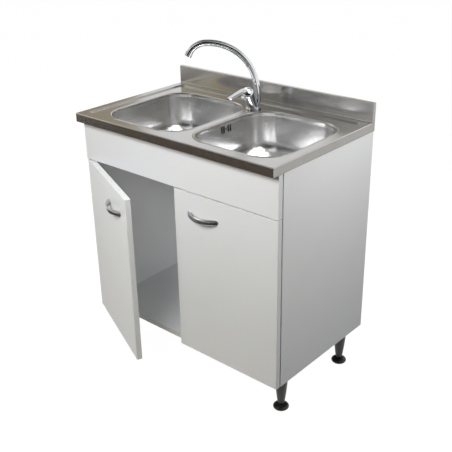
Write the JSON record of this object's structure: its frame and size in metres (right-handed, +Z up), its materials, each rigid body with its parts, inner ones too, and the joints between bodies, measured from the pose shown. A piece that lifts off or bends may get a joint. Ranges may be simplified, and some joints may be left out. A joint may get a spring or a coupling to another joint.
{
  "type": "kitchen sink unit",
  "caption": "Free-standing kitchen sink unit: pressed steel double-bowl top with upstand and swivel lever tap on a white two-door cabinet with levelling legs.",
  "frame": {"origin": "on the floor, under the middle of the steel top", "axes": "+Z up, front is -Y, +X to the right of a person facing the unit"},
  "size_m": [0.8, 0.6311, 1.0697],
  "materials": {
    "stainless": "satin rolled stainless steel",
    "strainer_steel": "polished stainless steel",
    "white_board": "satin white melamine on chipboard",
    "door_board": "satin white laminate on chipboard",
    "hardboard": "white painted hardboard",
    "beech": "fluted beech dowel",
    "zinc_steel": "bright zinc plated steel",
    "nickel": "nickel plated steel",
    "handle_metal": "satin chromed zinc casting",
    "leg_metal": "dark grey satin moulding",
    "foot_plastic": "black moulded plastic",
    "seal_rubber": "matt black rubber",
    "pipe_plastic": "white polypropylene",
    "tap_chrome": "polished chrome on brass",
    "tap_brass": "turned brass",
    "cartridge_plastic": "moulded cartridge housing"
  },
  "bodies": {
    "unit": {"back_panel": "hardboard", "bottom_panel": "white_board", "cartridge_nut": "tap_chrome", "fascia_brackets": "zinc_steel", "fascia_panel": "white_board", "hinge_plate_screws": "zinc_steel", "hinge_plates": "nickel", "left_bowl": "stainless", "left_hinge_arms": "nickel", "left_side_panel": "white_board", "left_waste_body": "pipe_plastic", "left_waste_strainer": "strainer_steel", "leg_columns": "leg_metal", "leg_sockets": "leg_metal", "overflow_fitting": "pipe_plastic", "overflow_pipe": "pipe_plastic", "rear_rail": "white_board", "right_bowl": "stainless", "right_hinge_arms": "nickel", "right_side_panel": "white_board", "right_waste_body": "pipe_plastic", "right_waste_strainer": "strainer_steel", "sink_clips": "zinc_steel", "sink_top": "stainless", "slip_nuts": "pipe_plastic", "tap_backnut": "tap_brass", "tap_base_seal": "seal_rubber", "tap_body": "tap_chrome", "tap_cartridge": "cartridge_plastic", "trap_body": "pipe_plastic", "trap_cup": "pipe_plastic", "trap_outlet_pipe": "pipe_plastic", "waste_gaskets": "seal_rubber", "waste_link_pipe": "pipe_plastic", "waste_screws": "zinc_steel", "waste_tee": "pipe_plastic", "wood_dowels": "beech"},
    "left_door": {"left_door_panel": "door_board", "left_hinge_cups": "nickel", "left_hinge_pins": "nickel", "left_handle": "handle_metal", "left_door_screws": "zinc_steel", "left_door_bumpers": "seal_rubber"},
    "right_door": {"right_door_panel": "door_board", "right_hinge_cups": "nickel", "right_hinge_pins": "nickel", "right_handle": "handle_metal", "right_door_screws": "zinc_steel", "right_door_bumpers": "seal_rubber"},
    "spout_arm": {"spout": "tap_chrome", "aerator": "tap_chrome"},
    "lever_turntable": {"lever_carrier": "tap_brass"},
    "lever_handle": {"lever": "tap_chrome", "lever_spindle": "tap_brass"},
    "front_left_foot": {"foot_front_left": "foot_plastic"},
    "front_right_foot": {"foot_front_right": "foot_plastic"},
    "rear_left_foot": {"foot_rear_left": "foot_plastic"},
    "rear_right_foot": {"foot_rear_right": "foot_plastic"},
    "left_plug": {"left_basket_plug": "strainer_steel"},
    "right_plug": {"right_basket_plug": "strainer_steel"}
  },
  "joints": [
    {"name": "left_door_hinge", "type": "hinge", "parent": "unit", "child": "left_door", "pos_m": [-0.3885, -0.2135, 0.4085], "axis": [0, 0, -1], "range_deg": [-24.5, 70.5]},
    {"name": "right_door_hinge", "type": "hinge", "parent": "unit", "child": "right_door", "pos_m": [0.3885, -0.2135, 0.4085], "axis": [0, 0, 1], "range_deg": [0, 95]},
    {"name": "spout_swivel", "type": "hinge", "parent": "unit", "child": "spout_arm", "pos_m": [0.0135, 0.163, 0.89], "axis": [0, 0, 1], "range_deg": [-45, 135]},
    {"name": "lever_turn", "type": "hinge", "parent": "unit", "child": "lever_turntable", "pos_m": [0.0135, 0.115, 0.9], "axis": [0, -0.454, 0.891], "range_deg": [-45, 45]},
    {"name": "lever_lift", "type": "hinge", "parent": "lever_turntable", "child": "lever_handle", "pos_m": [0.0135, 0.115, 0.9], "axis": [-1, 0, 0], "range_deg": [0, 25]},
    {"name": "front_left_foot_screw", "type": "slide", "parent": "unit", "child": "front_left_foot", "axis": [0, 0, -1], "range_m": [0, 0.02]},
    {"name": "front_right_foot_screw", "type": "slide", "parent": "unit", "child": "front_right_foot", "axis": [0, 0, -1], "range_m": [0, 0.02]},
    {"name": "rear_left_foot_screw", "type": "slide", "parent": "unit", "child": "rear_left_foot", "axis": [0, 0, -1], "range_m": [0, 0.02]},
    {"name": "rear_right_foot_screw", "type": "slide", "parent": "unit", "child": "rear_right_foot", "axis": [0, 0, -1], "range_m": [0, 0.02]},
    {"name": "left_plug_lift", "type": "slide", "parent": "unit", "child": "left_plug", "axis": [0, 0, 1], "range_m": [0, 0.045]},
    {"name": "right_plug_lift", "type": "slide", "parent": "unit", "child": "right_plug", "axis": [0, 0, 1], "range_m": [0, 0.045]}
  ]
}
